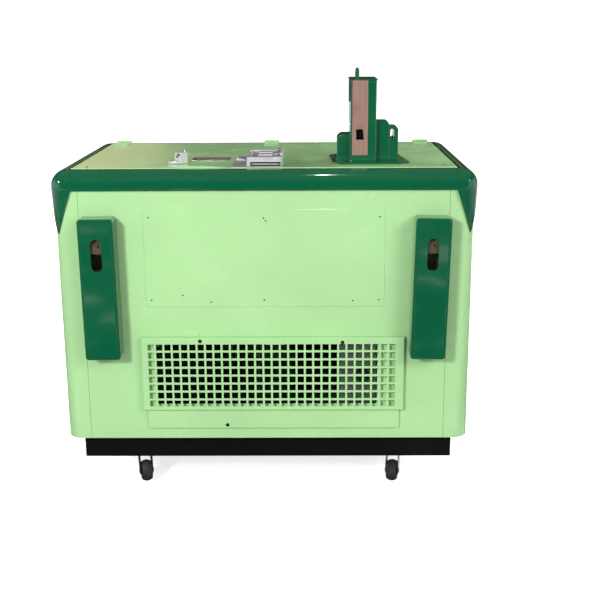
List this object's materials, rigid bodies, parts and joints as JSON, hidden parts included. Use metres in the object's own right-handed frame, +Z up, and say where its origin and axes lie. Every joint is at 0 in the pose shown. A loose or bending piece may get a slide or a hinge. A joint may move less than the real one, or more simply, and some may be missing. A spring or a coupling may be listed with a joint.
{
  "type": "coin-operated bottle vending machine",
  "caption": "Chest-type coin-operated cooler that vends bottled drinks, with hinged lid, coin tower, bottle gate, vent grille, cap catchers and casters.",
  "frame": {"origin": "on the floor, under the middle of the whole envelope", "axes": "+Z up, front of the cabinet towards -Y, +X to the right when facing the front"},
  "size_m": [1.052, 0.7114, 1.0838],
  "materials": {
    "light_green_enamel": "high-gloss mint green baked enamel",
    "dark_green_enamel": "high-gloss dark green enamel on castings",
    "black_plinth": "satin black painted steel",
    "galvanised": "galvanised sheet, dull spangle",
    "fibre_wool": "bonded fibre insulation",
    "rail_steel": "stainless strip, satin",
    "copper_tube": "drawn copper tube, lightly tarnished",
    "black_enamel": "semi-gloss black enamel",
    "aluminium_fins": "mill-finish aluminium",
    "motor_grey": "grey machine enamel",
    "pale_hose": "grey rubber hose",
    "cord_rubber": "black rubber cord",
    "seal_rubber": "black sponge rubber",
    "opener_casting": "worn plated opener casting",
    "bright_zinc": "bright zinc plated steel",
    "dark_screw": "blackened, grimy screw heads",
    "chrome": "polished chrome, small scratches",
    "gate_casting": "fettled aluminium casting, partly polished",
    "tower_plate": "brushed plate, warm tint",
    "knob_plastic": "black phenolic",
    "caster_steel": "zinc plated pressed steel",
    "wheel_rubber": "dark grey moulded rubber wheel"
  },
  "bodies": {
    "cabinet": {"front_panel": "light_green_enamel", "left_side_panel": "light_green_enamel", "right_side_panel": "light_green_enamel", "rear_panel": "light_green_enamel", "vent_grille": "light_green_enamel", "cabinet_hinge_leaves": "light_green_enamel", "front_trim": "dark_green_enamel", "rear_trim": "dark_green_enamel", "side_trims": "dark_green_enamel", "front_corner_caps": "dark_green_enamel", "rear_corner_caps": "dark_green_enamel", "base_plinth": "black_plinth", "base_pan": "galvanised", "tank_liner": "galvanised", "electrical_box": "galvanised", "fan_shroud": "galvanised", "tank_insulation": "fibre_wool", "bottle_rails": "rail_steel", "hinge_pins": "rail_steel", "evaporator_coil": "copper_tube", "refrigerant_lines": "copper_tube", "compressor": "black_enamel", "condenser": "aluminium_fins", "fan_motor": "motor_grey", "drain_tube": "pale_hose", "power_cord": "cord_rubber", "bottle_openers": "opener_casting", "caster_plates": "bright_zinc", "grille_screws": "dark_screw"},
    "lid": {"lid_skin": "light_green_enamel", "lid_liner": "galvanised", "lid_insulation": "fibre_wool", "lid_gasket": "seal_rubber", "lid_hinge_leaves": "light_green_enamel", "lid_pull_cup": "tower_plate", "lid_screws": "bright_zinc", "lock_housing": "chrome", "gate_housing": "gate_casting", "gate_pin": "rail_steel", "coin_tower_housing": "dark_green_enamel", "coin_tower_plate": "tower_plate", "tower_staple": "dark_green_enamel", "coin_chute": "black_enamel"},
    "lock_cylinder": {"lock_cylinder": "chrome"},
    "gate_flap": {"gate_flap": "gate_casting"},
    "coin_lever": {"coin_lever": "rail_steel"},
    "release_rod": {"release_rod": "rail_steel"},
    "cash_box": {"cash_box": "black_enamel"},
    "fan_blade": {"fan_blade": "aluminium_fins"},
    "thermostat_knob": {"thermostat_knob": "knob_plastic"},
    "cap_catcher_left": {"cap_catcher_left": "dark_green_enamel"},
    "cap_catcher_right": {"cap_catcher_right": "dark_green_enamel"},
    "fork_front_left": {"caster_fork_front_left": "caster_steel"},
    "wheel_front_left": {"caster_wheel_front_left": "wheel_rubber"},
    "fork_front_right": {"caster_fork_front_right": "caster_steel"},
    "wheel_front_right": {"caster_wheel_front_right": "wheel_rubber"},
    "fork_rear_left": {"caster_fork_rear_left": "caster_steel"},
    "wheel_rear_left": {"caster_wheel_rear_left": "wheel_rubber"},
    "fork_rear_right": {"caster_fork_rear_right": "caster_steel"},
    "wheel_rear_right": {"caster_wheel_rear_right": "wheel_rubber"}
  },
  "joints": [
    {"name": "lid_hinge", "type": "hinge", "parent": "cabinet", "child": "lid", "pos_m": [0, 0.30275, 0.854], "axis": [-1, 0, 0], "range_deg": [0, 80]},
    {"name": "lock_turn", "type": "hinge", "parent": "lid", "child": "lock_cylinder", "pos_m": [-0.212, -0.17025, 0.8705], "axis": [0.6428, 0.766, 0], "range_deg": [0, 90]},
    {"name": "gate_lift", "type": "hinge", "parent": "lid", "child": "gate_flap", "pos_m": [0.0315, -0.16225, 0.87], "axis": [0, 1, 0], "range_deg": [0, 75]},
    {"name": "coin_trip", "type": "hinge", "parent": "lid", "child": "coin_lever", "pos_m": [0.248, -0.16325, 0.866], "axis": [0, 1, 0], "range_deg": [0, 18]},
    {"name": "rod_slide", "type": "slide", "parent": "lid", "child": "release_rod", "axis": [-1, 0, 0], "range_m": [0, 0.0095]},
    {"name": "cash_box_slide", "type": "slide", "parent": "lid", "child": "cash_box", "axis": [0, 1, 0], "range_m": [0, 0.055]},
    {"name": "fan_spin", "type": "hinge", "parent": "cabinet", "child": "fan_blade", "pos_m": [-0.146, -0.22125, 0.3], "axis": [0, 1, 0], "continuous": true},
    {"name": "thermostat_turn", "type": "hinge", "parent": "cabinet", "child": "thermostat_knob", "pos_m": [0.246, -0.28725, 0.318], "axis": [0, 1, 0], "range_deg": [0, 270]},
    {"name": "left_catcher_lift", "type": "slide", "parent": "cabinet", "child": "cap_catcher_left", "axis": [-0.0087, 0, 1], "range_m": [0, 0.022]},
    {"name": "right_catcher_lift", "type": "slide", "parent": "cabinet", "child": "cap_catcher_right", "axis": [0.0209, 0, 0.9998], "range_m": [0, 0.022]},
    {"name": "swivel_front_left", "type": "hinge", "parent": "cabinet", "child": "fork_front_left", "pos_m": [-0.3379, -0.20425, 0.081], "axis": [0, 0, 1], "continuous": true},
    {"name": "roll_front_left", "type": "hinge", "parent": "fork_front_left", "child": "wheel_front_left", "pos_m": [-0.3311, -0.22517, 0.0285], "axis": [0.9511, 0.309, 0], "continuous": true},
    {"name": "swivel_front_right", "type": "hinge", "parent": "cabinet", "child": "fork_front_right", "pos_m": [0.3379, -0.20425, 0.081], "axis": [0, 0, 1], "continuous": true},
    {"name": "roll_front_right", "type": "hinge", "parent": "fork_front_right", "child": "wheel_front_right", "pos_m": [0.33258, -0.2256, 0.0285], "axis": [0.9703, -0.2419, 0], "continuous": true},
    {"name": "swivel_rear_left", "type": "hinge", "parent": "cabinet", "child": "fork_rear_left", "pos_m": [-0.3379, 0.23975, 0.081], "axis": [0, 0, 1], "continuous": true},
    {"name": "roll_rear_left", "type": "hinge", "parent": "fork_rear_left", "child": "wheel_rear_left", "pos_m": [-0.33258, 0.2611, 0.0285], "axis": [-0.9703, 0.2419, 0], "continuous": true},
    {"name": "swivel_rear_right", "type": "hinge", "parent": "cabinet", "child": "fork_rear_right", "pos_m": [0.3379, 0.23975, 0.081], "axis": [0, 0, 1], "continuous": true},
    {"name": "roll_rear_right", "type": "hinge", "parent": "fork_rear_right", "child": "wheel_rear_right", "pos_m": [0.33522, 0.26159, 0.0285], "axis": [-0.9925, -0.1219, 0], "continuous": true}
  ],
  "couplings": [
    {"joint": "rod_slide", "follows": "coin_trip", "m_per_rad": 0.0275}
  ]
}
